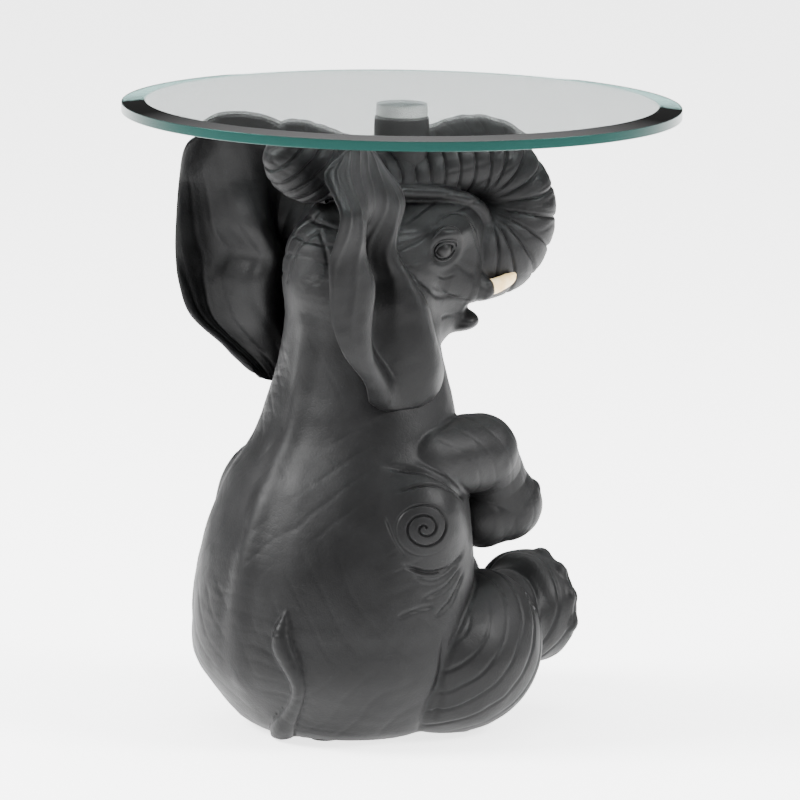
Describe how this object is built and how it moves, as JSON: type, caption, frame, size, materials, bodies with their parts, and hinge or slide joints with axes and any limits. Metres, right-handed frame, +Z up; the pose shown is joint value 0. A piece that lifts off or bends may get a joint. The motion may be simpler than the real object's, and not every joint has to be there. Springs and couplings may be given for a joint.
{
  "type": "elephant side table",
  "caption": "Side table: a seated charcoal resin elephant carries a round bevelled glass top on its raised trunk.",
  "frame": {"origin": "on the floor under the centre of the glass top", "axes": "+Z up; the elephant's body faces -Y, its left side is +X, and its head is turned a little to its own right"},
  "size_m": [0.4571, 0.4572, 0.51],
  "materials": {
    "resin": "matt cast resin, charcoal",
    "tusk": "painted cream, satin",
    "glass": "clear, green at the edge, polished bevel",
    "steel": "brushed stainless",
    "brass": "turned brass",
    "film": "clear bonding film",
    "board": "painted board",
    "pad": "matt rubber"
  },
  "bodies": {
    "base": {"torso_shell": "resin", "head": "resin", "trunk": "resin", "support_peg": "resin", "thread_insert": "brass", "left_ear": "resin", "right_ear": "resin", "left_tusk": "tusk", "right_tusk": "tusk", "left_foreleg": "resin", "right_foreleg": "resin", "left_hind_leg": "resin", "right_hind_leg": "resin", "tail": "resin", "base_plate": "board", "floor_pads": "pad"},
    "screw_stud": {"threaded_stud": "steel"},
    "glass_top": {"glass_top": "glass", "bond_film": "film", "hub_disc": "steel"}
  },
  "joints": [
    {"name": "top_rise", "type": "slide", "parent": "base", "child": "screw_stud", "axis": [0, 0, 1], "range_m": [0, 0.0135]},
    {"name": "top_turn", "type": "hinge", "parent": "screw_stud", "child": "glass_top", "pos_m": [0, 0, 0.495], "axis": [0, 0, 1], "range_deg": [0, 3240]}
  ],
  "couplings": [
    {"joint": "top_rise", "follows": "top_turn", "m_per_rad": 0.00023873}
  ]
}
